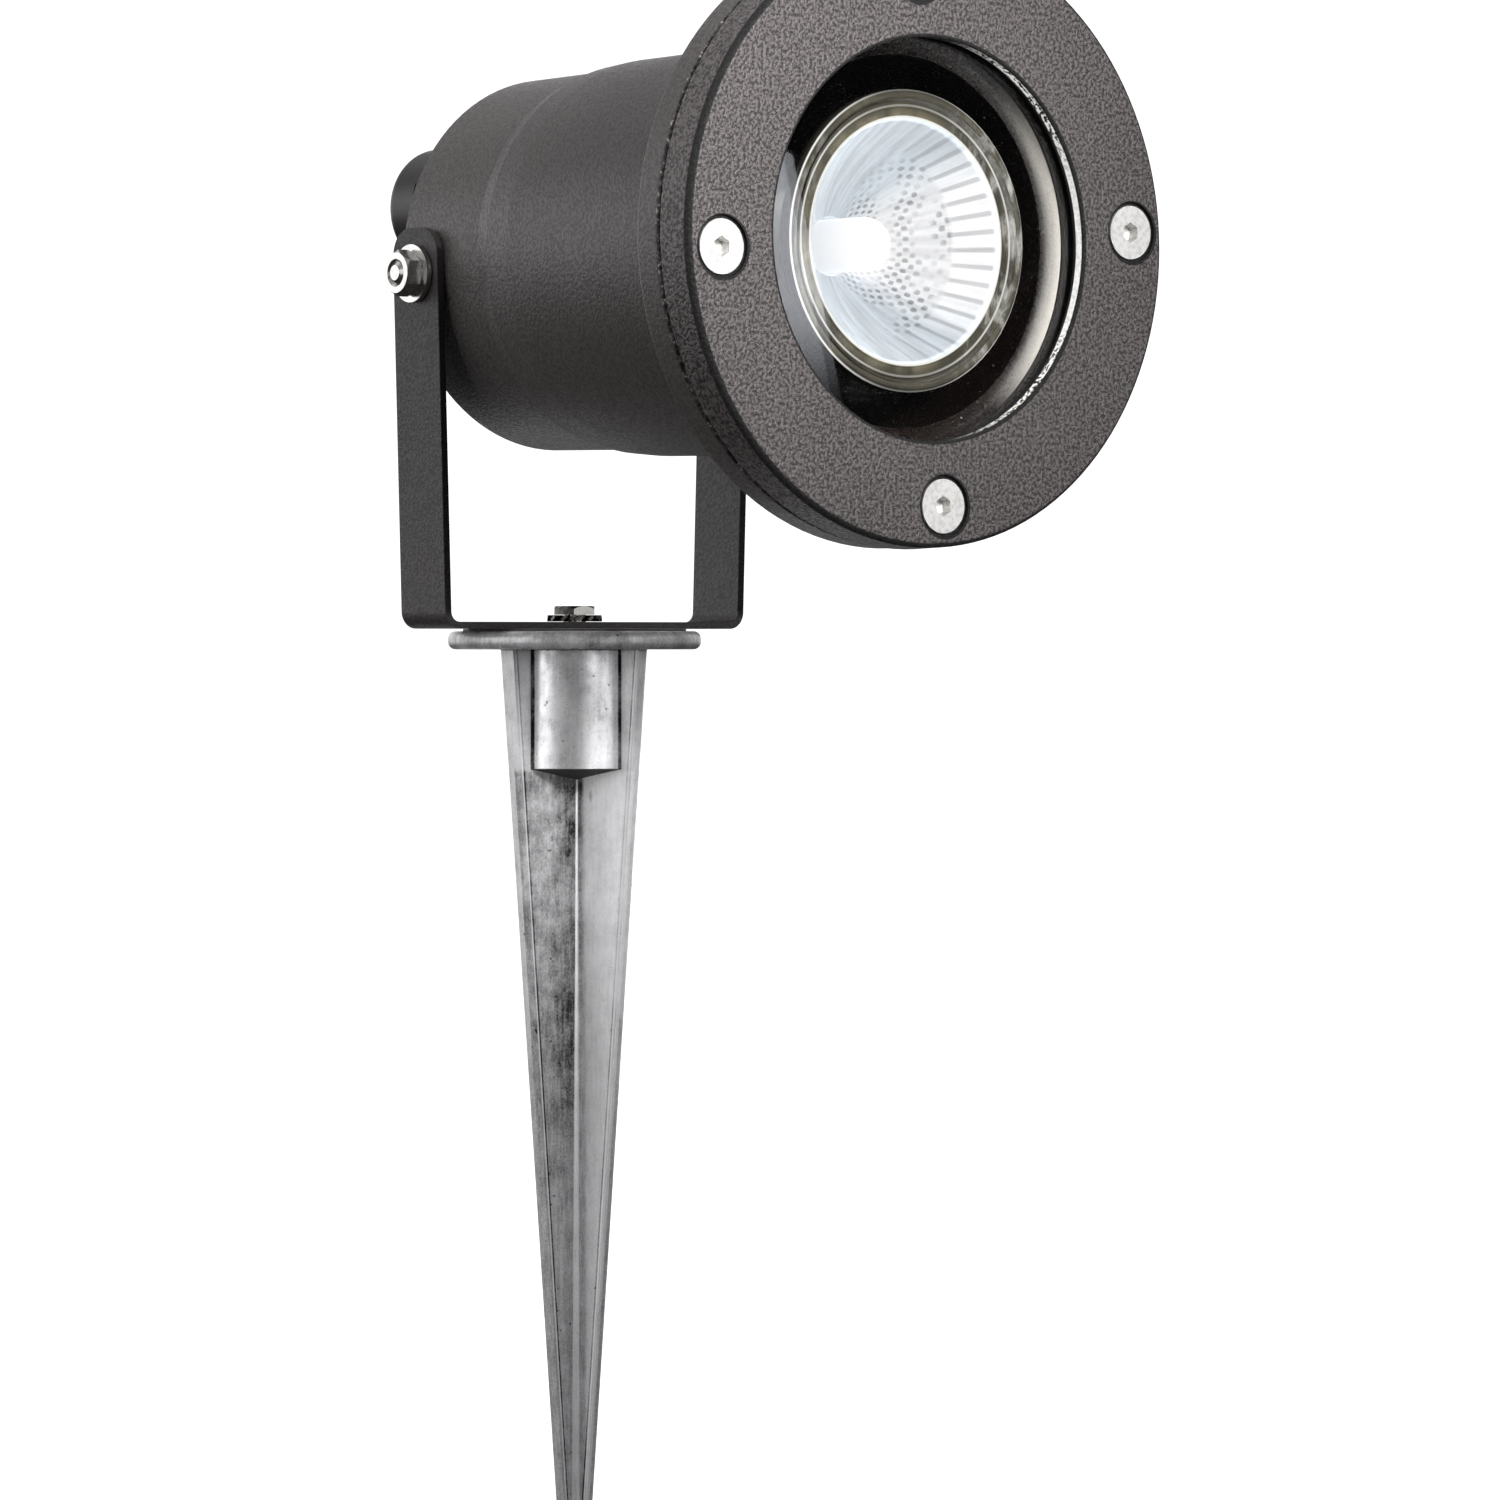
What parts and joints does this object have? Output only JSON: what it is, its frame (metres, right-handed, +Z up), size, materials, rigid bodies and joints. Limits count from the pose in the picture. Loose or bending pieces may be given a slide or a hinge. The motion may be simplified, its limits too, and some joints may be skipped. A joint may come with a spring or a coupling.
{
  "type": "garden spike spotlight",
  "caption": "Garden spotlight with a round lamp head that tilts in a U bracket, which swivels on a cast ground spike.",
  "frame": {"origin": "centre of the underside of the spike's flange, at soil level", "axes": "+Z up along the spike, the lamp faces -Y at rest, and the tilt axis runs along X"},
  "size_m": [0.1018, 0.1387, 0.283],
  "materials": {
    "cast_aluminium": "raw die-cast aluminium, mottled and unpolished",
    "body_paint": "charcoal powder coat with a fine orange-peel texture on cast aluminium",
    "bezel_paint": "charcoal powder coat with a fine orange-peel texture on cast aluminium",
    "bracket_paint": "charcoal powder coat on steel strip",
    "stainless": "satin stainless steel",
    "zinc_steel": "bright zinc-plated steel",
    "dark_steel": "dark plated spring steel",
    "lens_glass": "clear toughened glass",
    "lamp_glass": "clear pressed glass",
    "reflector": "faceted glass bowl with a bright dichroic coating",
    "filament": "glowing tungsten wire",
    "silicone": "black silicone rubber",
    "ceramic": "matt steatite ceramic",
    "brass": "plain brass",
    "block_plastic": "natural polyamide",
    "lead_sleeve": "white woven glass-fibre sleeve",
    "earth_sleeve": "green and yellow woven sleeve",
    "gland_plastic": "dark grey polyamide"
  },
  "bodies": {
    "spike": {"ground_spike": "cast_aluminium", "swivel_bolt": "zinc_steel", "swivel_star_washer": "dark_steel"},
    "bracket": {"u_bracket": "bracket_paint"},
    "head": {"housing": "body_paint", "bezel_ring": "bezel_paint", "bezel_screws": "stainless", "lens_glass": "lens_glass", "lens_gasket": "silicone", "lamp_reflector": "reflector", "lamp_cover_glass": "lamp_glass", "lamp_capsule": "lamp_glass", "lamp_filament": "filament", "lamp_base": "ceramic", "lamp_pins": "zinc_steel", "lampholder": "ceramic", "lampholder_contacts": "brass", "holder_bar": "zinc_steel", "holder_screws": "zinc_steel", "bar_screws": "zinc_steel", "terminal_block": "block_plastic", "terminal_screws": "zinc_steel", "lamp_leads": "lead_sleeve", "earth_lead": "earth_sleeve", "earth_tag": "zinc_steel", "earth_screw": "brass", "gland_body": "gland_plastic", "gland_gasket": "silicone", "gland_seal": "silicone", "gland_nut": "gland_plastic", "gland_locknut": "gland_plastic", "pivot_studs": "zinc_steel", "pivot_nuts": "zinc_steel", "pivot_washers": "zinc_steel", "friction_washers": "dark_steel"}
  },
  "joints": [
    {"name": "bracket_swivel", "type": "hinge", "parent": "spike", "child": "bracket", "pos_m": [0, 0, 0], "axis": [0, 0, 1], "continuous": true},
    {"name": "head_tilt", "type": "hinge", "parent": "bracket", "child": "head", "pos_m": [0, 0, 0.0643], "axis": [-1, 0, 0], "range_deg": [-35, 90]}
  ]
}
